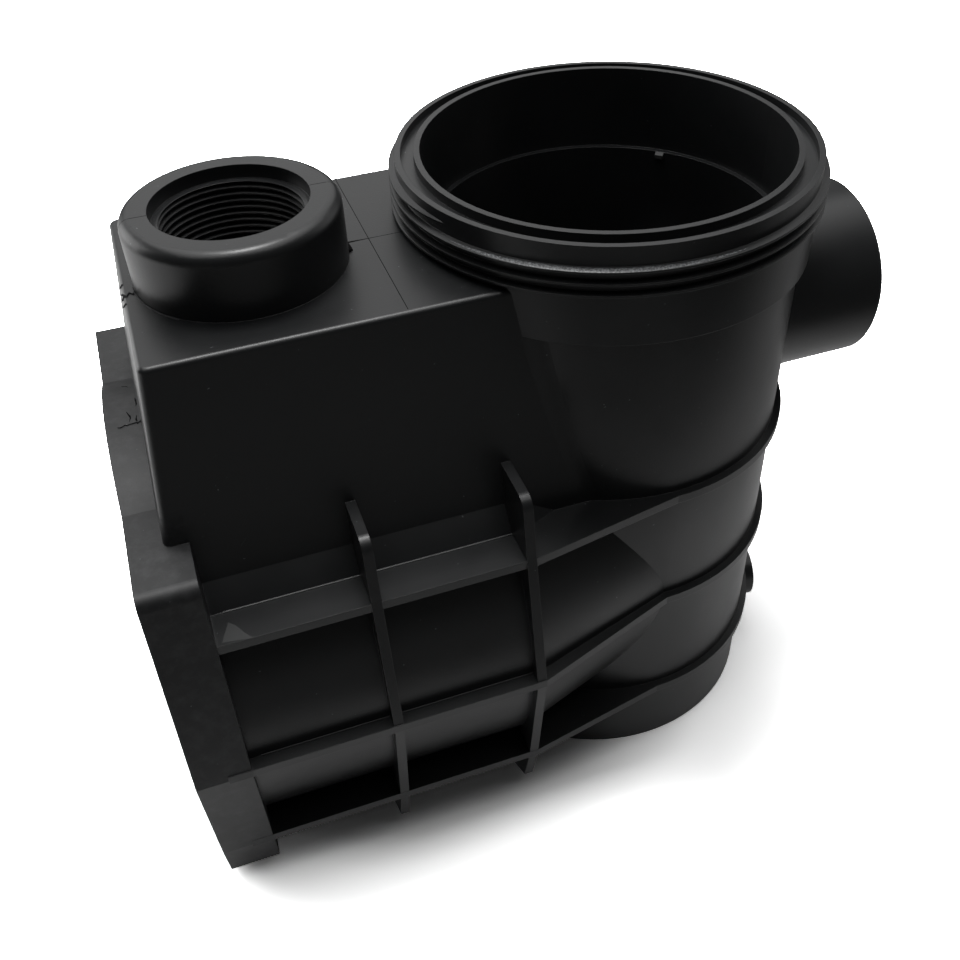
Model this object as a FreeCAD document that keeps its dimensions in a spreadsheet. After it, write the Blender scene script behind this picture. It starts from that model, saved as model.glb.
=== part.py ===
"""Pump housing: strainer pot, discharge box, ribbed chamber and motor flange in one moulding.

Origin on the pot's axis at the level that the housing stands on. +Z is up, -X is the motor
flange's side and +X is the suction side. Sizes in millimetres.
"""
import FreeCAD
import Part
import math
import os
import Sketcher

SIZES = {
    # strainer pot, about the Z axis
    "pot_outer_radius": 68.7,
    "pot_wall": 7.8,
    "pot_floor": 5.0,
    "pot_height": 242.4,
    "basket_seat_depth": 30.4,
    "basket_seat_width": 1.9,
    "collar_length": 34.7,
    "collar_step": 2.7,
    "outer_lip_drop": 0.5,
    "inner_lip_width": 2.1,
    "seal_groove_width": 4.4,
    "seal_groove_depth": 3.2,
    # lid thread on the collar
    "thread_pitch": 4.0,
    "thread_turns": 3.5,
    "thread_height": 2.3,
    "thread_crest": 0.7,
    "thread_root": 2.4,
    "thread_bite": 0.6,
    "thread_start_depth": 18.8,
    # round chamber, about a horizontal axis along X
    "chamber_radius": 87.0,
    "chamber_axis_z": 87.0,
    "chamber_wall": 5.0,
    "funnel_end_x": -20.0,
    # motor flange, and the outline that it shares with the upright ribs
    "flange_x": -182.5,
    "flange_thickness": 19.0,
    "flange_land": 11.0,
    "outline_top_z": 165.0,
    "outline_top_half": 78.7,
    "outline_shoulder_z": 142.0,
    "outline_shoulder_half": 82.0,
    "outline_waist_z": 87.0,
    "outline_waist_half": 92.0,
    "outline_hip_z": 32.0,
    "outline_hip_half": 82.4,
    "outline_toe_z": 10.4,
    "outline_toe_half": 76.4,
    "foot_half": 61.0,
    "plate_corner_radius": 5.0,
    "bolt_circle_radius": 92.0,
    "bolt_hole_radius": 3.25,
    "bolt_hole_depth": 16.0,
    # ribs
    "rib_thickness": 3.5,
    "upright_rib_setback1": 68.5,
    "upright_rib_setback2": 121.6,
    "level_rib_z1": 141.2,
    "level_rib_z2": 89.0,
    "level_rib_z3": 35.0,
    "level_rib_half1": 82.0,
    "level_rib_half2": 92.0,
    "level_rib_half3": 83.0,
    "ring_reach": 2.7,
    # discharge box, whose walls lean out on their way down, and its port
    "box_top_drop": 18.9,
    "box_top_half": 48.24,
    "box_root_inset": 6.2,
    "box_top_setback": 18.0,
    "box_root_setback": 8.0,
    "box_wall": 5.0,
    "box_edge_radius": 1.8,
    "box_corner_radius": 3.0,
    "box_blend_radius": 12.0,
    "passage_reach": 14.2,
    "port_setback": 56.1,
    "port_height": 22.1,
    "port_boss_radius": 34.4,
    "port_edge_radius": 4.0,
    "pipe_thread_radius": 23.9,
    "port_mouth_step": 1.1,
    "port_mouth_depth": 4.6,
    # suction spigot, with the same pipe thread as the port
    "spigot_radius": 34.0,
    "spigot_drop": 69.8,
    "spigot_length": 31.8,
    "spigot_chamfer": 1.5,
    # impeller eye and drain
    "eye_radius": 24.0,
    "drain_angle": -10.0,
    "drain_z": 20.6,
    "drain_boss_radius": 11.7,
    "drain_boss_length": 8.0,
    "drain_hole_radius": 6.6,
    # how far a cut or a joint runs past the surface that it meets
    "overrun": 1.0,
}

CHAMBER_X = "Sizes.flange_x + Sizes.flange_land"
FUNNEL_X = "Sizes.flange_x + Sizes.upright_rib_setback2 + Sizes.rib_thickness"
CHAMBER_BORE = "Sizes.chamber_radius - Sizes.chamber_wall"
POT_BORE = "Sizes.pot_outer_radius - Sizes.pot_wall"
POT_MOUTH = POT_BORE + " + Sizes.basket_seat_width"
COLLAR_RADIUS = "Sizes.pot_outer_radius + Sizes.collar_step"
COLLAR_Z = "Sizes.pot_height - Sizes.collar_length"
RING_RADIUS = "Sizes.pot_outer_radius + Sizes.ring_reach"
BOX_TOP_Z = "Sizes.pot_height - Sizes.box_top_drop"
BOX_ROOT_Z = "Sizes.level_rib_z1 - Sizes.rib_thickness / 2"
BOX_ROOT_HALF = "Sizes.pot_outer_radius - Sizes.box_root_inset"
BOX_TOP_X = "Sizes.flange_x + Sizes.box_top_setback"
PORT_X = "Sizes.flange_x + Sizes.port_setback"
PORT_TOP_Z = BOX_TOP_Z + " + Sizes.port_height"
SPIGOT_Z = "Sizes.pot_height - Sizes.spigot_drop"
SPIGOT_END_X = "Sizes.pot_outer_radius + Sizes.spigot_length"
DRAIN_END = "Sizes.pot_outer_radius + Sizes.drain_boss_length"
FULL_WIDTH = "2 * Sizes.outline_waist_half"
LEVEL_RIBS = ("1", "2", "3")
UPRIGHT_RIBS = ("1", "2")


def make_sheet(doc):
    sheet = doc.addObject("Spreadsheet::Sheet", "Sizes")
    for row, (name, value) in enumerate(SIZES.items(), start=1):
        sheet.set("A%d" % row, name)
        sheet.set("B%d" % row, str(value))
        sheet.setAlias("B%d" % row, name)
    doc.recompute()
    return sheet


def place_sketch(body, name, role, shift=None, lift=None):
    """An empty sketch on one of the body's own planes, shifted along the plane's normal."""
    sketch = body.newObject("Sketcher::SketchObject", name)
    for feature in body.Origin.OriginFeatures:
        if feature.Role == role:
            sketch.AttachmentSupport = [(feature, "")]
    sketch.MapMode = "FlatFace"
    if shift is not None:
        sketch.setExpression("AttachmentOffset.Base.z", shift)
    if lift is not None:
        sketch.setExpression("AttachmentOffset.Base.y", lift)
    return sketch


def bind_point(sketch, geometry, end, across, up):
    """Tie one point of a sketch to two expressions, measured from the sketch's origin."""
    for kind, expression in (("DistanceX", across), ("DistanceY", up)):
        index = sketch.addConstraint(Sketcher.Constraint(kind, -1, 1, geometry, end, 1.0))
        sketch.setExpression("Constraints[%d]" % index, expression)


def add_polygon(sketch, corners):
    """A closed outline of straight sides, each corner given by two expressions."""
    count = len(corners)
    first = sketch.GeometryCount
    ring = []
    for number in range(count):
        turn = 2 * math.pi * number / count
        ring.append(FreeCAD.Vector(100 * math.cos(turn), 100 * math.sin(turn), 0))
    for number in range(count):
        sketch.addGeometry(Part.LineSegment(ring[number], ring[(number + 1) % count]), False)
    for number in range(count):
        following = first + (number + 1) % count
        sketch.addConstraint(Sketcher.Constraint("Coincident", first + number, 2, following, 1))
        bind_point(sketch, first + number, 1, *corners[number])
    return sketch


def add_circle(sketch, across, up, radius):
    index = sketch.addGeometry(
        Part.Circle(FreeCAD.Vector(5, 5, 0), FreeCAD.Vector(0, 0, 1), 10), False)
    bind_point(sketch, index, 3, across, up)
    constraint = sketch.addConstraint(Sketcher.Constraint("Radius", index, 10.0))
    sketch.setExpression("Constraints[%d]" % constraint, radius)
    return sketch


def extrude(body, kind, name, sketch, length, both_ways=False, backwards=False):
    """A pad or pocket of the sketch; both_ways centres it on the sketch's plane."""
    feature = body.newObject("PartDesign::" + kind, name)
    feature.Profile = sketch
    if both_ways:
        feature.SideType = "Symmetric"
    feature.Reversed = backwards
    feature.setExpression("Length", length)
    return feature


def turn(body, kind, name, sketch, axis):
    feature = body.newObject("PartDesign::" + kind, name)
    feature.Profile = sketch
    feature.ReferenceAxis = (sketch, [axis])
    feature.Angle = 360
    return feature


def dress_edges(body, kind, name, wanted, size):
    """A fillet or chamfer on those edges of the body so far that the test accepts."""
    body.Document.recompute()
    base = body.Tip
    edges = []
    for index, edge in enumerate(base.Shape.Edges, start=1):
        if wanted(edge):
            edges.append("Edge%d" % index)
    feature = body.newObject("PartDesign::" + kind, name)
    feature.Base = (base, edges)
    feature.setExpression("Radius" if kind == "Fillet" else "Size", size)
    return feature


def measure(body, expression):
    """The value of an expression of the sheet, as a plain number."""
    return float(body.evalExpression(expression))


def close(value, target):
    return abs(value - target) < 0.01


def mirrored_outline(half):
    """Corners of an outline that is the same on both sides of the sketch's upright axis."""
    right = list(half)
    left = [("-(%s)" % across, up) for across, up in reversed(half)]
    return right + left


def make_box(body):
    """The discharge box, from its top down into the chamber; its two sides lean out."""
    sketch = place_sketch(body, "BoxProfile", "YZ_Plane", shift="Sizes.flange_x")
    add_polygon(sketch, mirrored_outline([
        (BOX_ROOT_HALF, BOX_ROOT_Z),
        ("Sizes.box_top_half", BOX_TOP_Z),
    ]))
    extrude(body, "Pad", "Box", sketch, "-Sizes.flange_x")

    end = "Sizes.flange_x - Sizes.overrun"
    sketch = place_sketch(body, "BoxEndProfile", "XZ_Plane")
    add_polygon(sketch, [
        ("Sizes.flange_x + Sizes.box_root_setback", BOX_ROOT_Z),
        (BOX_TOP_X, BOX_TOP_Z),
        (BOX_TOP_X, BOX_TOP_Z + " + Sizes.overrun"),
        (end, BOX_TOP_Z + " + Sizes.overrun"),
        (end, BOX_ROOT_Z + " - Sizes.overrun"),
        ("Sizes.flange_x + Sizes.box_root_setback", BOX_ROOT_Z + " - Sizes.overrun"),
    ])
    extrude(body, "Pocket", "BoxEnd", sketch, FULL_WIDTH, both_ways=True)


def make_pot_core(body):
    """The pot's outside up to the box's top, blended into the box's sides."""
    sketch = place_sketch(body, "PotCoreProfile", "XY_Plane", shift=BOX_ROOT_Z)
    add_circle(sketch, "0", "0", "Sizes.pot_outer_radius")
    extrude(body, "Pad", "PotCore", sketch, "%s - (%s)" % (BOX_TOP_Z, BOX_ROOT_Z))
    radius = measure(body, "Sizes.pot_outer_radius")
    top = measure(body, BOX_TOP_Z)
    port_x = measure(body, PORT_X)

    def runs_down_the_pot(edge):
        ends = [math.hypot(vertex.X, vertex.Y) for vertex in edge.Vertexes]
        leans = edge.BoundBox.ZLength > radius / 2 and edge.CenterOfMass.x < 0
        return leans and all(close(end, radius) for end in ends)

    def is_upright_corner(edge):
        return edge.CenterOfMass.x < port_x and edge.BoundBox.ZLength > radius / 2

    dress_edges(body, "Fillet", "BoxBlends", runs_down_the_pot, "Sizes.box_blend_radius")
    dress_edges(body, "Fillet", "BoxCorners", is_upright_corner, "Sizes.box_corner_radius")
    dress_edges(body, "Fillet", "BoxTopEdges", lambda edge: close(edge.BoundBox.ZMin, top),
                "Sizes.box_edge_radius")


def make_chamber(body):
    """The round chamber, which narrows like a funnel from the second upright rib to the pot."""
    sketch = place_sketch(body, "ChamberProfile", "XZ_Plane", lift="Sizes.chamber_axis_z")
    add_polygon(sketch, [
        (CHAMBER_X, "0"),
        ("0", "0"),
        ("0", "Sizes.pot_outer_radius"),
        (FUNNEL_X, "Sizes.chamber_radius"),
        (CHAMBER_X, "Sizes.chamber_radius"),
    ])
    turn(body, "Revolution", "Chamber", sketch, "H_Axis")


def plate_outline():
    """The outline that the flange and the upright ribs share."""
    return mirrored_outline([
        ("Sizes.foot_half", "0"),
        ("Sizes.outline_toe_half", "Sizes.outline_toe_z"),
        ("Sizes.outline_hip_half", "Sizes.outline_hip_z"),
        ("Sizes.outline_waist_half", "Sizes.outline_waist_z"),
        ("Sizes.outline_shoulder_half", "Sizes.outline_shoulder_z"),
        ("Sizes.outline_top_half", "Sizes.outline_top_z"),
    ])


def make_plates(body):
    """The motor flange and the upright ribs, with rounded top corners."""
    sketch = place_sketch(body, "FlangeProfile", "YZ_Plane", shift="Sizes.flange_x")
    add_polygon(sketch, plate_outline())
    extrude(body, "Pad", "Flange", sketch, "Sizes.flange_thickness")
    for number in UPRIGHT_RIBS:
        sketch = place_sketch(body, "UprightRibProfile" + number, "YZ_Plane",
                              shift="Sizes.flange_x + Sizes.upright_rib_setback" + number)
        add_polygon(sketch, plate_outline())
        extrude(body, "Pad", "UprightRib" + number, sketch, "Sizes.rib_thickness")
    half = measure(body, "Sizes.outline_top_half")
    top = measure(body, "Sizes.outline_top_z")

    def is_top_corner(edge):
        middle = edge.CenterOfMass
        return close(abs(middle.y), half) and close(middle.z, top)

    dress_edges(body, "Fillet", "PlateCorners", is_top_corner, "Sizes.plate_corner_radius")


def make_flange_arch(body):
    """The flange's round rim, which stands above its flat top."""
    arch = place_sketch(body, "FlangeArchProfile", "YZ_Plane", shift="Sizes.flange_x")
    add_circle(arch, "0", "Sizes.chamber_axis_z", "Sizes.chamber_radius")
    extrude(body, "Pad", "FlangeArch", arch, "Sizes.flange_thickness")


def make_level_ribs(body):
    """Level plates along the chamber that close in on the pot and go on round it as rings."""
    for number in LEVEL_RIBS:
        half = "Sizes.level_rib_half" + number
        floor = "Sizes.level_rib_z%s - Sizes.rib_thickness" % number
        sketch = place_sketch(body, "LevelRibProfile" + number, "XY_Plane", shift=floor)
        add_polygon(sketch, [
            (CHAMBER_X, "-(%s)" % half),
            (FUNNEL_X, "-(%s)" % half),
            ("0", "-(%s)" % RING_RADIUS),
            ("0", RING_RADIUS),
            (FUNNEL_X, half),
            (CHAMBER_X, half),
        ])
        extrude(body, "Pad", "LevelRib" + number, sketch, "Sizes.rib_thickness")
        ring = place_sketch(body, "RingProfile" + number, "XY_Plane", shift=floor)
        add_circle(ring, "0", "0", RING_RADIUS)
        extrude(body, "Pad", "Ring" + number, ring, "Sizes.rib_thickness")


def make_port_boss(body):
    sketch = place_sketch(body, "PortBossProfile", "XY_Plane",
                          shift=BOX_TOP_Z + " - Sizes.overrun")
    add_circle(sketch, PORT_X, "0", "Sizes.port_boss_radius")
    extrude(body, "Pad", "PortBoss", sketch, "Sizes.port_height + Sizes.overrun")
    top = measure(body, PORT_TOP_Z)
    wall = "Sizes.port_boss_radius - Sizes.pipe_thread_radius - Sizes.port_mouth_step"
    dress_edges(body, "Fillet", "PortEdge", lambda edge: close(edge.CenterOfMass.z, top),
                "min(Sizes.port_edge_radius; (%s) / 2)" % wall)


def make_spigot(body):
    sketch = place_sketch(body, "SpigotProfile", "YZ_Plane")
    add_circle(sketch, "0", SPIGOT_Z, "Sizes.spigot_radius")
    extrude(body, "Pad", "Spigot", sketch, SPIGOT_END_X)
    end = measure(body, SPIGOT_END_X)
    dress_edges(body, "Chamfer", "SpigotEdge", lambda edge: close(edge.BoundBox.XMin, end),
                "Sizes.spigot_chamfer")


def place_drain_sketch(body, name, radius):
    """A circle on a plane through the pot's axis, facing the way that the drain points."""
    sketch = place_sketch(body, name, "YZ_Plane")
    upright = FreeCAD.Vector(0, 1, 0)
    sketch.AttachmentOffset = FreeCAD.Placement(
        FreeCAD.Vector(0, 0, 0), FreeCAD.Rotation(upright, 10))
    sketch.setExpression("AttachmentOffset.Rotation.Angle", "Sizes.drain_angle")
    return add_circle(sketch, "0", "Sizes.drain_z", radius)


def make_drain_boss(body):
    sketch = place_drain_sketch(body, "DrainBossProfile", "Sizes.drain_boss_radius")
    extrude(body, "Pad", "DrainBoss", sketch, DRAIN_END)


def make_collar(body):
    """The pot's collar with the seal groove and two lips in its top, still filled."""
    groove_start = POT_MOUTH + " + Sizes.inner_lip_width"
    groove_end = groove_start + " + Sizes.seal_groove_width"
    outer_lip_z = "Sizes.pot_height - Sizes.outer_lip_drop"
    groove_z = "Sizes.pot_height - Sizes.seal_groove_depth"
    sketch = place_sketch(body, "CollarProfile", "XZ_Plane")
    add_polygon(sketch, [
        ("0", COLLAR_Z),
        (COLLAR_RADIUS, COLLAR_Z),
        (COLLAR_RADIUS, outer_lip_z),
        (groove_end, outer_lip_z),
        (groove_end, groove_z),
        (groove_start, groove_z),
        (groove_start, "Sizes.pot_height"),
        ("0", "Sizes.pot_height"),
    ])
    turn(body, "Revolution", "Collar", sketch, "V_Axis")


def hollow_chamber(body):
    """The chamber's inside, open at the flange, and the discharge passage up to the port."""
    end = "Sizes.flange_x - Sizes.overrun"
    sketch = place_sketch(body, "ChamberHollowProfile", "XZ_Plane",
                          lift="Sizes.chamber_axis_z")
    add_polygon(sketch, [
        (end, "0"),
        ("Sizes.funnel_end_x", "0"),
        ("Sizes.funnel_end_x", "Sizes.pot_outer_radius"),
        (FUNNEL_X, CHAMBER_BORE),
        (end, CHAMBER_BORE),
    ])
    turn(body, "Groove", "ChamberHollow", sketch, "H_Axis")

    start = BOX_TOP_X + " + Sizes.box_wall"
    sketch = place_sketch(body, "PassageProfile", "YZ_Plane", shift=start)
    add_polygon(sketch, mirrored_outline([
        (BOX_ROOT_HALF + " - Sizes.box_wall", BOX_ROOT_Z),
        ("Sizes.box_top_half - Sizes.box_wall", BOX_TOP_Z + " - Sizes.box_wall"),
    ]))
    extrude(body, "Pocket", "Passage", sketch,
            "Sizes.passage_reach - Sizes.pot_outer_radius - (%s)" % start, backwards=True)


def fill_pot(body):
    """The pot as a full round bar from the floor to the collar, also where the funnel ran."""
    sketch = place_sketch(body, "PotWallProfile", "XY_Plane")
    add_circle(sketch, "0", "0", "Sizes.pot_outer_radius")
    extrude(body, "Pad", "PotWall", sketch, COLLAR_Z)


def hollow_pot(body):
    seat_z = "Sizes.pot_height - Sizes.basket_seat_depth"
    mouth_z = "Sizes.pot_height + Sizes.overrun"
    sketch = place_sketch(body, "PotHollowProfile", "XZ_Plane")
    add_polygon(sketch, [
        ("0", "Sizes.pot_floor"),
        (POT_BORE, "Sizes.pot_floor"),
        (POT_BORE, seat_z),
        (POT_MOUTH, seat_z),
        (POT_MOUTH, mouth_z),
        ("0", mouth_z),
    ])
    turn(body, "Groove", "PotHollow", sketch, "V_Axis")


def bore_port(body):
    sketch = place_sketch(body, "PortBoreProfile", "XY_Plane", shift=PORT_TOP_Z)
    add_circle(sketch, PORT_X, "0", "Sizes.pipe_thread_radius")
    extrude(body, "Pocket", "PortBore", sketch, "Sizes.port_height + 2 * Sizes.box_wall")
    sketch = place_sketch(body, "PortMouthProfile", "XY_Plane", shift=PORT_TOP_Z)
    add_circle(sketch, PORT_X, "0", "Sizes.pipe_thread_radius + Sizes.port_mouth_step")
    extrude(body, "Pocket", "PortMouth", sketch, "Sizes.port_mouth_depth")


def bore_pot(body):
    """The suction bore, the impeller's eye and the drain hole, each through one wall."""
    sketch = place_sketch(body, "SuctionBoreProfile", "YZ_Plane", shift=SPIGOT_END_X)
    add_circle(sketch, "0", SPIGOT_Z, "Sizes.pipe_thread_radius")
    extrude(body, "Pocket", "SuctionBore", sketch, SPIGOT_END_X)
    sketch = place_sketch(body, "EyeProfile", "YZ_Plane")
    add_circle(sketch, "0", "Sizes.chamber_axis_z", "Sizes.eye_radius")
    extrude(body, "Pocket", "Eye", sketch, "Sizes.pot_outer_radius + Sizes.chamber_wall")
    sketch = place_drain_sketch(body, "DrainHoleProfile", "Sizes.drain_hole_radius")
    extrude(body, "Pocket", "DrainHole", sketch, DRAIN_END, backwards=True)


def bore_bolt_holes(body):
    sketch = place_sketch(body, "BoltHoleProfile", "YZ_Plane", shift="Sizes.flange_x")
    reach = "Sizes.bolt_circle_radius * sqrt(0.5)"
    for across in (reach, "-(%s)" % reach):
        for rise in ("+", "-"):
            add_circle(sketch, across, "Sizes.chamber_axis_z %s %s" % (rise, reach),
                       "Sizes.bolt_hole_radius")
    extrude(body, "Pocket", "BoltHoles", sketch, "Sizes.bolt_hole_depth", backwards=True)


def make_lid_thread(body):
    """The coarse lid thread: a blunt ridge wound up the outside of the collar."""
    sketch = place_sketch(body, "LidThreadProfile", "XZ_Plane",
                          lift="Sizes.pot_height - Sizes.thread_start_depth")
    root = COLLAR_RADIUS + " - Sizes.thread_bite"
    crest = COLLAR_RADIUS + " + Sizes.thread_height"
    add_polygon(sketch, [
        (root, "-Sizes.thread_root / 2"),
        (crest, "-Sizes.thread_crest / 2"),
        (crest, "Sizes.thread_crest / 2"),
        (root, "Sizes.thread_root / 2"),
    ])
    thread = body.newObject("PartDesign::AdditiveHelix", "LidThread")
    thread.Profile = sketch
    thread.ReferenceAxis = (sketch, ["V_Axis"])
    thread.Mode = "pitch-turns-angle"
    thread.setExpression("Pitch", "Sizes.thread_pitch")
    thread.setExpression("Turns", "Sizes.thread_turns")


def check(doc, body):
    for item in doc.Objects:
        if "Invalid" in item.State or "Error" in item.State:
            raise RuntimeError("%s failed" % item.Name)
    if body.Shape.isNull() or not body.Shape.isValid():
        raise RuntimeError("%s has no valid shape" % body.Label)
    if len(body.Shape.Solids) != 1:
        raise RuntimeError("%s is not one solid" % body.Label)


def main():
    doc = FreeCAD.newDocument("PumpHousing")
    make_sheet(doc)
    body = doc.addObject("PartDesign::Body", "Housing")
    body.Label = "pump_housing"
    make_box(body)
    make_pot_core(body)
    make_chamber(body)
    make_plates(body)
    make_flange_arch(body)
    make_level_ribs(body)
    make_port_boss(body)
    make_spigot(body)
    make_collar(body)
    hollow_chamber(body)
    fill_pot(body)
    make_drain_boss(body)
    hollow_pot(body)
    bore_port(body)
    bore_pot(body)
    bore_bolt_holes(body)
    make_lid_thread(body)
    doc.recompute()
    check(doc, body)
    os.makedirs("parts", exist_ok=True)
    body.Shape.exportStep("parts/%s.step" % body.Label)


main()
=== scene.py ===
"""Looks of the moulded pump housing: black filled plastic, threads, mould seams and flash."""

import math
import random

import bmesh
import bpy
from mathutils import Matrix, Vector


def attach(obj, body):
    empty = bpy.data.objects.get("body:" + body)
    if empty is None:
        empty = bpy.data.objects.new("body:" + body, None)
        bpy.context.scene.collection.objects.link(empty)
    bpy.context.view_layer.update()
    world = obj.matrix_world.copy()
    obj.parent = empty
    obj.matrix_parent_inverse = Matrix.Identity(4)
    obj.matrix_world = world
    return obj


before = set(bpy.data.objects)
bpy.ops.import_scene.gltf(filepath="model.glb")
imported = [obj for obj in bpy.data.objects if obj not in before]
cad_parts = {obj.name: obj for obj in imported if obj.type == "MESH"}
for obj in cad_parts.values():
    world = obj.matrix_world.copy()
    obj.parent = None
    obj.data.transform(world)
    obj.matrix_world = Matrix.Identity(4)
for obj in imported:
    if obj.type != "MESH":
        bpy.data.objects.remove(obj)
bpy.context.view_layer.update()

MM = 0.001
SEED = 7
UP = Vector((0, 0, 1))

# The camera, from a fit of the object's circles and edges.
CAMERA_SPOT = Vector((-148.98, -316.45, 397.91)) * MM
CAMERA_AZIMUTH = math.radians(17.3425)
CAMERA_ELEVATION = math.radians(41.3324)
CAMERA_ROLL = math.radians(-2.7991)
FOCAL_PIXELS = 1083.28
FRAME_PIXELS = 960
SENSOR_WIDTH = 36.0

# The studio, in metres and watts.
FLOOR_SIZE = 2.4
LAMP_TARGET = (-0.04, 0.0, 0.1)
LAMPS = (
    # name, place, width, height, power
    ("overhead_softbox", (0.0, 0.12, 1.1), 1.4, 1.2, 9.5),
    ("back_softbox", (0.1, 1.2, 0.85), 1.5, 0.8, 3.2),
    ("right_softbox", (1.0, 0.25, 0.5), 0.8, 0.8, 1.2),
    ("ceiling_lamp", (-0.05, 0.18, 1.3), 0.3, 0.3, 6.0),
    ("left_softbox", (-0.95, 0.75, 0.45), 0.8, 0.8, 5.0),
)
ROOM_LIGHT = 0.06
PAPER_TO_CAMERA = 8.0

# Sizes of the housing that the small details sit on, in millimetres.
POT_BORE = 60.9
BOX_TOP = 223.5
BOX_LEFT = -164.5
BOX_TOP_HALF = 48.24
BOX_LEAN = 0.1697
PORT_X = -126.4
PORT_TOP = 245.6
PORT_BOSS_RADIUS = 34.4
PORT_EDGE_RADIUS = 4.0
PORT_MOUTH_RADIUS = 25.0
PORT_MOUTH_DEPTH = 4.6
PIPE_THREAD_RADIUS = 23.9
PIPE_THREAD_PITCH = 2.309
PIPE_THREAD_DEPTH = 1.45
PORT_THREAD_TURNS = 9.9
SPIGOT_END = 100.5
SPIGOT_MOUTH_DEPTH = 1.4
SPIGOT_THREAD_TURNS = 9.0
SPIGOT_Z = 172.6
DRAIN_ANGLE = math.radians(-10)
DRAIN_Z = 20.6
DRAIN_END = 76.7
DRAIN_MOUTH_DEPTH = 0.9
DRAIN_RADIUS = 6.6
DRAIN_PITCH = 1.337
DRAIN_THREAD_DEPTH = 0.85
DRAIN_THREAD_TURNS = 8.0
FLANGE_OUTER = -182.5
FLANGE_INNER = -163.5
FLANGE_TOP_Z = 175.0
ARCH_RADIUS = 87.0
ARCH_Z = 87.0
LEDGE_Z = 141.2
SECOND_RIB_Z = 89.0
NECK_RADIUS = 71.4
LID_THREAD_END_Z = 237.6
LID_THREAD_END_DEGREES = 178
LID_THREAD_PITCH = 4.0
LID_THREAD_HEIGHT = 2.3

# The small details' own sizes, in millimetres unless a name says otherwise.
THREAD_BITE = 0.06
THREAD_STEPS = 64
RUN_OUT_DEGREES = 24
# The stretch of the lid thread's flank that carries the painted highlight and scuff specks.
SCUFF_AND_HIGHLIGHT_START_DEGREES = 205
SCUFF_AND_HIGHLIGHT_DEGREES = 76
ROOT_RADIUS = 0.45
HAIRLINE_HEIGHT = 0.03
STRIP_SINK = 0.05


def linear(code):
    """sRGB hex to the linear colour that shaders take."""
    channels = []
    for start in (1, 3, 5):
        value = int(code[start:start + 2], 16) / 255
        channels.append(value / 12.92 if value <= 0.04045 else ((value + 0.055) / 1.055) ** 2.4)
    return (*channels, 1.0)


def grey(value):
    return (value, value, value, 1.0)


def noise_scale(millimetres):
    """Noise cells per metre for a pattern of this size."""
    return 1 / (millimetres * MM)


def add_node(tree, kind, settings=None, inputs=None, links=None):
    """One shader node with its settings, its sockets' values and what is linked to them."""
    node = tree.nodes.new(kind)
    for name, value in (settings or {}).items():
        setattr(node, name, value)
    for socket, value in (inputs or {}).items():
        node.inputs[socket].default_value = value
    for socket, source in (links or {}).items():
        tree.links.new(source, node.inputs[socket])
    return node


def new_material(name):
    material = bpy.data.materials.new(name)
    material.use_nodes = True
    material.node_tree.nodes.clear()
    return material, material.node_tree


def set_ramp(node, stops):
    ramp = node.color_ramp
    while len(ramp.elements) > 1:
        ramp.elements.remove(ramp.elements[-1])
    ramp.elements[0].position = stops[0][0]
    ramp.elements[0].color = stops[0][1]
    for place, colour in stops[1:]:
        ramp.elements.new(place).color = colour


def flange_share(tree, place):
    """1 on the flange's skin and 0 on the rest of the housing."""
    split = add_node(tree, "ShaderNodeSeparateXYZ", None, None, {"Vector": place})
    flange = add_node(tree, "ShaderNodeMapRange", None,
                      {"From Min": (FLANGE_INNER + 1) * MM, "From Max": FLANGE_INNER * MM},
                      {"Value": split.outputs["X"]})
    below_top = add_node(tree, "ShaderNodeMapRange", None,
                         {"From Min": (FLANGE_TOP_Z + 0.5) * MM,
                          "From Max": (FLANGE_TOP_Z - 0.5) * MM},
                         {"Value": split.outputs["Z"]})
    inside = add_node(tree, "ShaderNodeMath", {"operation": "MULTIPLY"}, None,
                      {0: flange.outputs["Result"], 1: below_top.outputs["Result"]})
    return inside.outputs["Value"]


def wear_on_the_flange(tree, place, skin, flange):
    """The skin's colour, with faint pale patches of handling on the flange alone."""
    # The worn patches are about 6 mm wide.
    scuff = add_node(tree, "ShaderNodeTexNoise", None,
                     {"Scale": noise_scale(6), "Detail": 6.0, "Roughness": 0.7},
                     {"Vector": place})
    patch = add_node(tree, "ShaderNodeMapRange", None,
                     {"From Min": 0.45, "From Max": 0.75, "To Max": 0.34},
                     {"Value": scuff.outputs["Fac"]})
    handled = add_node(tree, "ShaderNodeMath", {"operation": "MULTIPLY"}, None,
                       {0: flange, 1: patch.outputs["Result"]})
    worn = add_node(tree, "ShaderNodeMix", {"data_type": "RGBA"}, {7: linear("#4a4a4c")},
                    {"Factor": handled.outputs["Value"], 6: skin})
    return worn.outputs[2]


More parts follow.
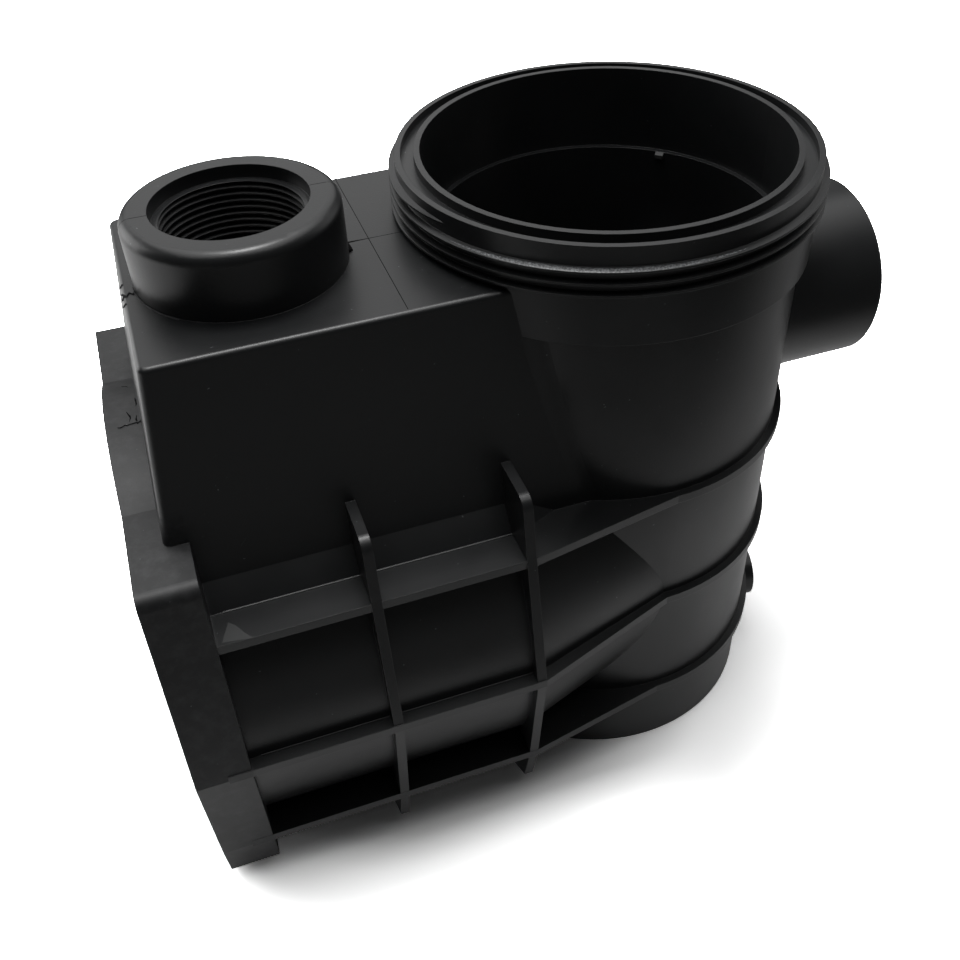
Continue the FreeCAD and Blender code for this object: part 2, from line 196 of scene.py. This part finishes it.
def black_filled_polypropylene():
    """Glass-filled black polypropylene, injection moulded.

    To the eye: satin and near black, with a fine grain that blurs the lamps' mirror images,
    faint cloudy rub marks from handling and a few pale specks of dust.
    """
    material, tree = new_material("black_filled_polypropylene")
    place = add_node(tree, "ShaderNodeTexCoord").outputs["Object"]
    # The mould's grain is about 0.1 mm, too fine to show, so it is drawn at 0.7 mm.
    grain = add_node(tree, "ShaderNodeTexNoise", {"noise_dimensions": "3D"},
                     {"Scale": noise_scale(0.7), "Detail": 3.0, "Roughness": 0.6},
                     {"Vector": place})
    # Rub marks are about 45 mm wide.
    cloud = add_node(tree, "ShaderNodeTexNoise", None,
                     {"Scale": noise_scale(45), "Detail": 5.0, "Roughness": 0.6},
                     {"Vector": place})
    # Specks of dust are 0.1 to 0.3 mm, in cells of 1.6 mm of which few hold one.
    dust = add_node(tree, "ShaderNodeTexNoise", None,
                    {"Scale": noise_scale(1.6), "Detail": 2.0, "Roughness": 0.5},
                    {"Vector": place})
    speck = add_node(tree, "ShaderNodeMapRange", None, {"From Min": 0.755, "From Max": 0.80},
                     {"Value": dust.outputs["Fac"]})
    skin = add_node(tree, "ShaderNodeValToRGB", None, None, {"Fac": cloud.outputs["Fac"]})
    set_ramp(skin, [(0.3, linear("#131415")), (0.7, linear("#18191a"))])
    flange = flange_share(tree, place)
    worn = wear_on_the_flange(tree, place, skin.outputs["Color"], flange)
    tone = add_node(tree, "ShaderNodeMix", {"data_type": "RGBA"}, {7: linear("#5a5c5e")},
                    {"Factor": speck.outputs["Result"], 6: worn})
    gloss = add_node(tree, "ShaderNodeMapRange", None,
                     {"From Min": 0.3, "From Max": 0.7, "To Min": 0.31, "To Max": 0.40},
                     {"Value": cloud.outputs["Fac"]})
    # The flange is handled most, which has left it more matt than the rest.
    matt = add_node(tree, "ShaderNodeMath", {"operation": "MULTIPLY_ADD"}, {1: 0.14},
                    {0: flange, 2: gloss.outputs["Result"]})
    # Every moulded edge is a little round, so it catches a thin line of light.
    bevel = add_node(tree, "ShaderNodeBevel", {"samples": 4}, {"Radius": 0.3 * MM})
    bump = add_node(tree, "ShaderNodeBump", None, {"Strength": 0.12, "Distance": 0.2 * MM},
                    {"Height": grain.outputs["Fac"], "Normal": bevel.outputs["Normal"]})
    shader = add_node(tree, "ShaderNodeBsdfPrincipled", None, {"IOR": 1.49},
                      {"Base Color": tone.outputs[2], "Roughness": matt.outputs["Value"],
                       "Normal": bump.outputs["Normal"]})
    add_node(tree, "ShaderNodeOutputMaterial", None, None, {"Surface": shader.outputs["BSDF"]})
    return material


def plain_polypropylene(name, code, roughness, specular):
    """The same plastic where it is torn or rubbed, and near-black painted shade where grooves and
    cracks are open: one colour and one gloss all over.
    """
    material, tree = new_material(name)
    shader = add_node(tree, "ShaderNodeBsdfPrincipled", None,
                      {"Base Color": linear(code), "Roughness": roughness, "IOR": 1.49,
                       "Specular IOR Level": specular})
    add_node(tree, "ShaderNodeOutputMaterial", None, None, {"Surface": shader.outputs["BSDF"]})
    return material


def scuff_and_painted_highlight():
    """The lid thread's worn flank: a matt painted highlight, far lighter than the skin, with
    bright ragged scuff specks.
    """
    material, tree = new_material("scuff_and_painted_highlight")
    place = add_node(tree, "ShaderNodeTexCoord").outputs["Object"]
    # The torn specks are about 0.2 mm, too fine to show, so they are drawn at 0.6 mm.
    scuff = add_node(tree, "ShaderNodeTexNoise", None,
                     {"Scale": noise_scale(0.6), "Detail": 3.0, "Roughness": 0.7},
                     {"Vector": place})
    skin = add_node(tree, "ShaderNodeValToRGB", None, None, {"Fac": scuff.outputs["Fac"]})
    # Painted highlight: the flank is coloured far lighter than the skin, with ragged scuff specks
    # in it.
    set_ramp(skin, [(0.42, linear("#232425")), (0.64, linear("#747678"))])
    shader = add_node(tree, "ShaderNodeBsdfPrincipled", None, {"Roughness": 0.42, "IOR": 1.49},
                      {"Base Color": skin.outputs["Color"]})
    add_node(tree, "ShaderNodeOutputMaterial", None, None, {"Surface": shader.outputs["BSDF"]})
    return material


def paper_painted_shade_for_reflections(tree, split):
    """How light the paper is to the housing: painted shade, dark in front and dim at the right.

    Upright faces mirror this painted shade as a dark room in front, and the leaning box wall a
    lighter place far off.
    """
    depth = add_node(tree, "ShaderNodeMapRange", None, {"From Min": -0.60, "From Max": 0.0},
                     {"Value": split.outputs["Y"]})
    front = add_node(tree, "ShaderNodeValToRGB", None, None, {"Fac": depth.outputs["Result"]})
    set_ramp(front, [(0.08, grey(0.36)), (0.33, grey(0.11)), (0.57, grey(0.11)),
                     (0.75, grey(0.92))])
    right = add_node(tree, "ShaderNodeMapRange", None,
                     {"From Min": 0.08, "From Max": 0.24, "To Min": 1.0, "To Max": 0.35},
                     {"Value": split.outputs["X"]})
    reach = add_node(tree, "ShaderNodeMath", {"operation": "MULTIPLY"}, None,
                     {0: front.outputs["Color"], 1: right.outputs["Result"]})
    return reach.outputs["Value"]


def paper_painted_shadow_for_camera(tree, split):
    """How light the paper is to the camera: white far off, and darkened near the housing by a
    painted shadow on top of the shadow that the lamps cast.

    The place is measured from a line under the housing, from the box's middle to the pot's.
    """
    beside = add_node(tree, "ShaderNodeMapRange", None,
                      {"From Min": -0.10, "From Max": 0.0, "To Min": -0.10, "To Max": 0.0},
                      {"Value": split.outputs["X"]})
    past = add_node(tree, "ShaderNodeMath", {"operation": "SUBTRACT"}, None,
                    {0: split.outputs["X"], 1: beside.outputs["Result"]})
    clear = add_node(tree, "ShaderNodeCombineXYZ", None, None,
                     {"X": past.outputs["Value"], "Y": split.outputs["Y"]})
    away = add_node(tree, "ShaderNodeVectorMath", {"operation": "LENGTH"}, None,
                    {0: clear.outputs["Vector"]})
    share = add_node(tree, "ShaderNodeMapRange", None, {"From Max": 0.4},
                     {"Value": away.outputs["Value"]})
    # Painted shadow: near the housing the paper is coloured darker to the camera, more by the box
    # than by the pot.
    painted_shadow_by_box = add_node(tree, "ShaderNodeValToRGB", None, None,
                          {"Fac": share.outputs["Result"]})
    set_ramp(painted_shadow_by_box, [(0.175, grey(0.14)), (0.20, grey(0.20)), (0.215, grey(0.33)),
                          (0.2375, grey(0.45)), (0.325, grey(0.54)), (0.875, grey(1.0))])
    painted_shadow_by_pot = add_node(tree, "ShaderNodeValToRGB", None, None,
                          {"Fac": share.outputs["Result"]})
    set_ramp(painted_shadow_by_pot, [(0.175, grey(0.26)), (0.325, grey(0.32)), (0.55, grey(0.5)),
                          (0.875, grey(1.0))])
    side = add_node(tree, "ShaderNodeMapRange", None, {"From Min": -0.04, "From Max": 0.02},
                    {"Value": split.outputs["X"]})
    fade = add_node(tree, "ShaderNodeMix", {"data_type": "FLOAT"}, None,
                    {"Factor": side.outputs["Result"], "A": painted_shadow_by_box.outputs["Color"],
                     "B": painted_shadow_by_pot.outputs["Color"]})
    shown = add_node(tree, "ShaderNodeMath", {"operation": "MULTIPLY"}, {1: PAPER_TO_CAMERA},
                     {0: fade.outputs["Result"]})
    return shown.outputs["Value"]


def paper_with_painted_shadow():
    """White studio paper, calendered and matt: it shows no gloss, only the housing's shadow, with
    a painted shadow near the housing for the camera and painted shade in front and at the right
    for the housing's reflections.
    """
    material, tree = new_material("paper_with_painted_shadow")
    path = add_node(tree, "ShaderNodeLightPath")
    place = add_node(tree, "ShaderNodeTexCoord").outputs["Object"]
    split = add_node(tree, "ShaderNodeSeparateXYZ", None, None, {"Vector": place})
    tone = add_node(tree, "ShaderNodeMix", {"data_type": "RGBA"}, None,
                    {"Factor": path.outputs["Is Camera Ray"],
                     6: paper_painted_shade_for_reflections(tree, split),
                     7: paper_painted_shadow_for_camera(tree, split)})
    shader = add_node(tree, "ShaderNodeBsdfDiffuse", None, None, {"Color": tone.outputs[2]})
    add_node(tree, "ShaderNodeOutputMaterial", None, None, {"Surface": shader.outputs["BSDF"]})
    return material


def make_camera():
    azimuth, elevation, roll = CAMERA_AZIMUTH, CAMERA_ELEVATION, CAMERA_ROLL
    forward = Vector((math.sin(azimuth) * math.cos(elevation),
                      math.cos(azimuth) * math.cos(elevation),
                      -math.sin(elevation)))
    level_right = forward.cross(UP).normalized()
    level_up = level_right.cross(forward)
    right = math.cos(roll) * level_right + math.sin(roll) * level_up
    up = -math.sin(roll) * level_right + math.cos(roll) * level_up
    data = bpy.data.cameras.new("camera")
    data.sensor_width = SENSOR_WIDTH
    data.lens = FOCAL_PIXELS / FRAME_PIXELS * SENSOR_WIDTH
    data.clip_start = 0.01
    data.clip_end = 50
    camera = bpy.data.objects.new("camera", data)
    bpy.context.scene.collection.objects.link(camera)
    axes = Matrix((right, up, -forward)).transposed().to_4x4()
    camera.matrix_world = Matrix.Translation(CAMERA_SPOT) @ axes
    bpy.context.scene.camera = camera


def add_softbox(name, spot, width, height, power):
    data = bpy.data.lights.new(name, "AREA")
    data.shape = "RECTANGLE"
    data.size = width
    data.size_y = height
    data.energy = power
    lamp = bpy.data.objects.new(name, data)
    bpy.context.scene.collection.objects.link(lamp)
    lamp.location = spot
    lamp.rotation_mode = "QUATERNION"
    lamp.rotation_quaternion = (Vector(spot) - Vector(LAMP_TARGET)).to_track_quat("Z", "Y")


def make_studio():
    bpy.ops.mesh.primitive_plane_add(size=FLOOR_SIZE, location=(0, 0, 0))
    floor = bpy.context.object
    floor.name = "floor"
    floor.data.materials.append(paper_with_painted_shadow())
    for lamp in LAMPS:
        add_softbox(*lamp)
    world = bpy.data.worlds.new("studio_air")
    world.use_nodes = True
    tree = world.node_tree
    tree.nodes.clear()
    path = add_node(tree, "ShaderNodeLightPath")
    level = add_node(tree, "ShaderNodeMapRange", None, {"To Min": ROOM_LIGHT, "To Max": 1.0},
                     {"Value": path.outputs["Is Camera Ray"]})
    sky = add_node(tree, "ShaderNodeBackground", None, {"Color": grey(1.0)},
                   {"Strength": level.outputs["Result"]})
    add_node(tree, "ShaderNodeOutputWorld", None, None, {"Surface": sky.outputs["Background"]})
    bpy.context.scene.world = world


def around(radius, turned, height=0.0, centre_x=0.0):
    """A place on a level circle, from its radius and its angle in radians."""
    return Vector((centre_x + radius * math.cos(turned), radius * math.sin(turned), height))


def split_line(start, end, parts):
    return [Vector(start).lerp(Vector(end), part / parts) for part in range(parts + 1)]


def add_piece(name, shell, material, smooth_angle=None):
    """A finished mesh as one piece of the housing, from a bmesh in millimetres."""
    bmesh.ops.recalc_face_normals(shell, faces=shell.faces)
    bmesh.ops.scale(shell, vec=(MM, MM, MM), verts=shell.verts)
    mesh = bpy.data.meshes.new(name)
    shell.to_mesh(mesh)
    shell.free()
    mesh.materials.append(material)
    if smooth_angle is not None:
        mesh.shade_smooth()
        mesh.set_sharp_from_angle(angle=math.radians(smooth_angle))
    piece = bpy.data.objects.new(name, mesh)
    bpy.context.scene.collection.objects.link(piece)
    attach(piece, "root")


def join_rings(shell, rings):
    """Skin over a row of equal rings of vertices, closed at both ends."""
    count = len(rings[0])
    for ring, following in zip(rings, rings[1:]):
        for index in range(count):
            after = (index + 1) % count
            shell.faces.new((ring[index], ring[after], following[after], following[index]))
    shell.faces.new(rings[0])
    shell.faces.new(rings[-1])


def wind_pipe_thread(name, mouth, axis, radius, depth, pitch, turns, material):
    """Right-handed ridges of an inside pipe thread, cut off flat by the step at its mouth."""
    inward = Vector(axis).normalized()
    side = inward.orthogonal().normalized()
    other = inward.cross(side)
    steps = THREAD_STEPS
    shell = bmesh.new()
    rings = []
    for step in range(int(turns * steps) + 1):
        turned = 2 * math.pi * step / steps
        # The ridge rises within a tenth of a turn and runs out over four tenths.
        ends = min(4 * step, turns * steps - step) / (steps * 0.4)
        height = depth * min(1.0, max(0.04, ends))
        out = math.cos(turned) * side + math.sin(turned) * other
        ring = []
        for reach, along in ((-THREAD_BITE, -0.47), (height, -0.09), (height, 0.09),
                             (-THREAD_BITE, 0.47)):
            inside = max(0.01, pitch * (step / steps - 0.45 + along))
            ring.append(shell.verts.new(Vector(mouth) + out * (radius - reach) + inward * inside))
        rings.append(ring)
    join_rings(shell, rings)
    add_piece(name, shell, material, smooth_angle=35)


def wind_lid_run_out(plastic):
    """The lid thread's end: the ridge runs on for a short way and sinks into the collar."""
    shell = bmesh.new()
    rings = []
    steps = 16
    for step in range(steps + 1):
        part = step / steps
        turned = math.radians(LID_THREAD_END_DEGREES + RUN_OUT_DEGREES * part)
        height = LID_THREAD_END_Z + LID_THREAD_PITCH * (RUN_OUT_DEGREES * part - 2) / 360
        crest = LID_THREAD_HEIGHT * (1 - part ** 1.5)
        rings.append([shell.verts.new(around(NECK_RADIUS + reach, turned, height + rise))
                      for reach, rise in ((-0.4, -1.2), (crest, -0.35), (crest, 0.35),
                                          (-0.4, 1.2))])
    join_rings(shell, rings)
    add_piece("lid_thread_run_out", shell, plastic, smooth_angle=30)


def lay_strip(name, path, normals, widths, height, material):
    """A low ridge of three faces laid along a path on the housing's skin.

    There is one normal for the whole path or one for each of its places, and so for the width.
    """
    if isinstance(normals, Vector):
        normals = [normals] * len(path)
    if isinstance(widths, float):
        widths = [widths] * len(path)
    shell = bmesh.new()
    rings = []
    for index, (spot, normal, width) in enumerate(zip(path, normals, widths)):
        before = path[max(index - 1, 0)]
        after = path[min(index + 1, len(path) - 1)]
        normal = normal.normalized()
        across = (after - before).cross(normal).normalized()
        rings.append([
            shell.verts.new(spot - across * width / 2 - normal * STRIP_SINK),
            shell.verts.new(spot - across * width / 4 + normal * height),
            shell.verts.new(spot + across * width / 4 + normal * height),
            shell.verts.new(spot + across * width / 2 - normal * STRIP_SINK),
        ])
    join_rings(shell, rings)
    add_piece(name, shell, material)


def lay_scuff_and_painted_highlight(scuff_and_highlight):
    """The upper flank of the lid thread's top turn, on the side of the box: scuff specks on a
    painted highlight.
    """
    path = []
    normals = []
    widths = []
    parts = 48
    for step in range(parts + 1):
        part = step / parts
        degrees = SCUFF_AND_HIGHLIGHT_START_DEGREES + SCUFF_AND_HIGHLIGHT_DEGREES * part
        turned = math.radians(degrees)
        turned_back = LID_THREAD_END_DEGREES + 360 - degrees
        height = LID_THREAD_END_Z - LID_THREAD_PITCH * turned_back / 360
        path.append(around(NECK_RADIUS + 1.35, turned, height + 0.67))
        normals.append(around(0.30, turned, 0.954))
        widths.append(1.9 * min(1.0, 4.0 * part * (1 - part) + 0.1))
    lay_strip("lid_thread_scuff_and_highlight", path, normals, widths, 0.03, scuff_and_highlight)


def make_threads(plastic):
    wind_lid_run_out(plastic)
    pipe_thread = (PIPE_THREAD_RADIUS, PIPE_THREAD_DEPTH, PIPE_THREAD_PITCH)
    wind_pipe_thread("discharge_port_thread", (PORT_X, 0, PORT_TOP - PORT_MOUTH_DEPTH),
                     (0, 0, -1), *pipe_thread, PORT_THREAD_TURNS, plastic)
    wind_pipe_thread("suction_port_thread", (SPIGOT_END - SPIGOT_MOUTH_DEPTH, 0, SPIGOT_Z),
                     (-1, 0, 0), *pipe_thread, SPIGOT_THREAD_TURNS, plastic)
    away = around(1, DRAIN_ANGLE)
    wind_pipe_thread("drain_thread", away * (DRAIN_END - DRAIN_MOUTH_DEPTH) + UP * DRAIN_Z,
                     -away, DRAIN_RADIUS, DRAIN_THREAD_DEPTH, DRAIN_PITCH, DRAIN_THREAD_TURNS,
                     plastic)


def make_scribed_lines(painted_shade):
    """Hairline marks of the mould's inserts on the box's top, the long one open at the boss, drawn
    in the near-black painted shade of fine grooves.
    """
    crossing = PORT_X + PORT_BOSS_RADIUS + 7.5
    half = BOX_TOP_HALF - 1.8
    across = split_line((crossing, -half, BOX_TOP), (crossing, half, BOX_TOP), 8)
    along = split_line((PORT_X + PORT_BOSS_RADIUS, 0, BOX_TOP), (1 - NECK_RADIUS, 0, BOX_TOP), 8)
    lay_strip("insert_mark_across", across, UP, 0.36, HAIRLINE_HEIGHT, painted_shade)
    lay_strip("insert_mark_along", along, UP, [1.5, 1.2, 0.8, 0.5] + [0.36] * 5,
              HAIRLINE_HEIGHT, painted_shade)


def boss_seam_path(side):
    """From the boss's foot up its wall, over the rounded edge and across the ring's top."""
    outer = PORT_BOSS_RADIUS
    edge = PORT_EDGE_RADIUS
    path = [Vector((PORT_X + side * outer, 0, BOX_TOP)),
            Vector((PORT_X + side * outer, 0, PORT_TOP - edge))]
    normals = [Vector((side, 0, 0))] * 2
    centre = Vector((PORT_X + side * (outer - edge), 0, PORT_TOP - edge))
    for step in range(1, 7):
        turned = math.pi / 2 * step / 6
        normal = Vector((side * math.cos(turned), 0, math.sin(turned)))
        path.append(centre + normal * edge)
        normals.append(normal)
    path.append(Vector((PORT_X + side * PORT_MOUTH_RADIUS, 0, PORT_TOP)))
    normals.append(UP)
    return path, normals


def make_boss_seams(painted_shade, torn):
    """The mould's parting line over the port boss, with torn flash where it meets the box. The
    seam hairlines and the nib at the boss's foot are drawn in near-black painted shade.
    """
    for name, side in (("boss_seam_left", -1), ("boss_seam_right", 1)):
        path, normals = boss_seam_path(side)
        lay_strip(name, path, normals, 0.32, HAIRLINE_HEIGHT, painted_shade)
    chance = random.Random(SEED)
    path = [around(PORT_BOSS_RADIUS + 0.35 + chance.uniform(-0.15, 0.15),
                   math.radians(182 + 46 * step / 12), BOX_TOP, PORT_X) for step in range(13)]
    lay_strip("boss_foot_flash", path, UP, 0.5, 0.22, torn)
    # The nib is coloured near black as painted shade, for the shadow on it.
    nib = ((0, 0.0), (-3, 0.2), (-6, 0.4), (-9, 0.5), (-11, 0.0))
    path = [around(PORT_BOSS_RADIUS + proud, math.radians(degrees), BOX_TOP, PORT_X)
            for degrees, proud in nib]
    lay_strip("boss_foot_nib", path, UP, [0.4, 1.0, 1.5, 1.7, 0.4], 0.8, painted_shade)


def make_box_end_flash(torn, chance):
    """Ragged flash across the box's end at its parting line, and three short tears beside it."""
    spots = ((-164.6, -4.6), (-163.3, -6.0), (-162.4, -4.2), (-161.3, -5.6), (-160.6, -3.4))
    path = [Vector((across, along, BOX_TOP)) for across, along in spots]
    lay_strip("box_end_flash", path, UP, 0.9, 0.4, torn)
    for number, along in enumerate((2.4, -5.6, -9.6), start=1):
        path = split_line((BOX_LEFT - 0.5, along, BOX_TOP - 1.6),
                          (BOX_LEFT + 0.7, along + chance.uniform(-0.6, 0.6), BOX_TOP - 0.1), 3)
        lay_strip("box_end_tear_%d" % number, path, Vector((-0.7, 0, 0.7)),
                  [0.3, 0.9, 0.7, 0.2], 0.3, torn)


def make_flange_flash(torn, painted_shade, chance):
    """Flash along the flange's parting line, and four short cracks in the rim's skin drawn in
    near-black painted shade.
    """
    path = [Vector((FLANGE_OUTER + 4.2 + step * 0.78,
                    -3.4 + chance.uniform(-0.35, 0.35) + step * 0.12,
                    ARCH_Z + ARCH_RADIUS - 0.05)) for step in range(11)]
    widths = [chance.uniform(0.1, 0.35) + 0.07 * step for step in range(len(path))]
    lay_strip("flange_flash", path, UP, widths, 0.3, torn)
    cracks = (
        ((-171.5, 1.6), (-171.9, -0.6), (-171.6, -3.4)),
        ((-174.7, 5.0), (-173.8, 1.8), (-173.7, 0.6), (-174.3, -1.4)),
        ((-175.4, 27.2), (-174.6, 26.4), (-173.9, 26.2), (-173.2, 24.6)),
        ((-171.2, 13.5), (-171.1, 11.5), (-171.0, 9.0), (-171.3, 7.5)),
    )
    for number, spots in enumerate(cracks, start=1):
        normals = [Vector((0, along, math.sqrt(ARCH_RADIUS ** 2 - along ** 2)))
                   for across, along in spots]
        path = [Vector((across, 0, ARCH_Z)) + normal
                for (across, along), normal in zip(spots, normals)]
        lay_strip("flange_crack_%d" % number, path, normals, [0.25, 0.75, 0.6, 0.2], 0.04, painted_shade)


def make_torn_flash(torn, painted_shade):
    """Flash and tears left by the mould; both share one row of random draws."""
    chance = random.Random(SEED + 1)
    make_box_end_flash(torn, chance)
    make_flange_flash(torn, painted_shade, chance)


def lay_root_fillet(name, start, end, level, upright, material):
    """The small rounded root where a level rib meets the barrel: a thin bright line."""
    shell = bmesh.new()
    rings = []
    for spot in split_line(start, end, 6):
        ring = [shell.verts.new(spot - (level + upright) * 0.15)]
        for step in range(5):
            turned = math.pi / 2 * step / 4
            ring.append(shell.verts.new(spot + level * ROOT_RADIUS * (1 - math.sin(turned))
                                        + upright * ROOT_RADIUS * (1 - math.cos(turned))))
        rings.append(ring)
    join_rings(shell, rings)
    add_piece(name, shell, material, smooth_angle=40)


def make_rib_roots(plastic):
    """Rounded roots of the two upper level ribs, in both bays between the upright ribs."""
    bays = ((FLANGE_INNER + 4, -114.0), (-110.5, -60.9))
    for number, height in ((1, LEDGE_Z), (2, SECOND_RIB_Z)):
        rise = height - ARCH_Z
        along = -math.sqrt(ARCH_RADIUS ** 2 - rise ** 2)
        steep = Vector((0, along, rise)).normalized()
        # The barrel is near upright at the second rib and leans back at the first.
        upright = UP if number == 2 else Vector((0, steep.z, -steep.y))
        for bay, (first, last) in enumerate(bays, start=1):
            lay_root_fillet("rib_%d_root_%d" % (number, bay), (first, along, height),
                            (last, along, height), Vector((0, -1, 0)), upright, plastic)


def make_basket_stop(rubbed):
    """A small stop for the strainer basket, just under the seat on the pot's back wall."""
    shell = bmesh.new()
    ends = []
    for degrees in (46.2, 43.2):
        turned = math.radians(degrees)
        ends.append([shell.verts.new(around(POT_BORE + reach, turned, height))
                     for reach, height in ((0.2, 209.4), (-1.3, 209.6), (-1.3, 211.0),
                                           (0.2, 212.0))])
    join_rings(shell, ends)
    add_piece("basket_stop", shell, rubbed)


def make_rubbed_patch(rubbed):
    """A pale rubbed triangle on the top level rib, in the corner by the flange."""
    outline = ((-161.6, -80.6), (-158.4, -72.8), (-156.2, -75.0), (-154.2, -79.0), (-151.9, -82.0))
    shell = bmesh.new()
    join_rings(shell, [[shell.verts.new((across, along, LEDGE_Z + rise))
                        for across, along in outline] for rise in (0.03, -0.07)])
    add_piece("rubbed_patch", shell, rubbed)


def make_scratch(rubbed):
    """A short pale scratch on the box's front wall."""
    spots = ((-149.0, 158.6), (-148.2, 159.7), (-147.3, 160.6), (-146.6, 161.6))
    path = [Vector((across, -(BOX_TOP_HALF + BOX_LEAN * (BOX_TOP - height)), height))
            for across, height in spots]
    lay_strip("box_scratch", path, Vector((0, -1, BOX_LEAN)), [0.2, 0.5, 0.45, 0.15],
              HAIRLINE_HEIGHT, rubbed)


make_camera()
make_studio()
plastic = black_filled_polypropylene()
# Near-black painted shade: the shade inside the hairline grooves, seams and cracks and on the nib
# by the boss, drawn as a colour.
painted_shade = plain_polypropylene("groove_painted_shade", "#060606", 0.9, 0.1)
torn = plain_polypropylene("torn_polypropylene_flash", "#1d1e20", 0.6, 0.5)
rubbed = plain_polypropylene("rubbed_polypropylene", "#2b2c2c", 0.6, 0.5)
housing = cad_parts["pump_housing"]
housing.data.materials.clear()
housing.data.materials.append(plastic)
make_threads(plastic)
make_scribed_lines(painted_shade)
make_boss_seams(painted_shade, torn)
make_torn_flash(torn, painted_shade)
make_rib_roots(plastic)
make_basket_stop(rubbed)
make_rubbed_patch(rubbed)
make_scratch(rubbed)
lay_scuff_and_painted_highlight(scuff_and_painted_highlight())

bpy.context.scene.view_settings.view_transform = "Standard"
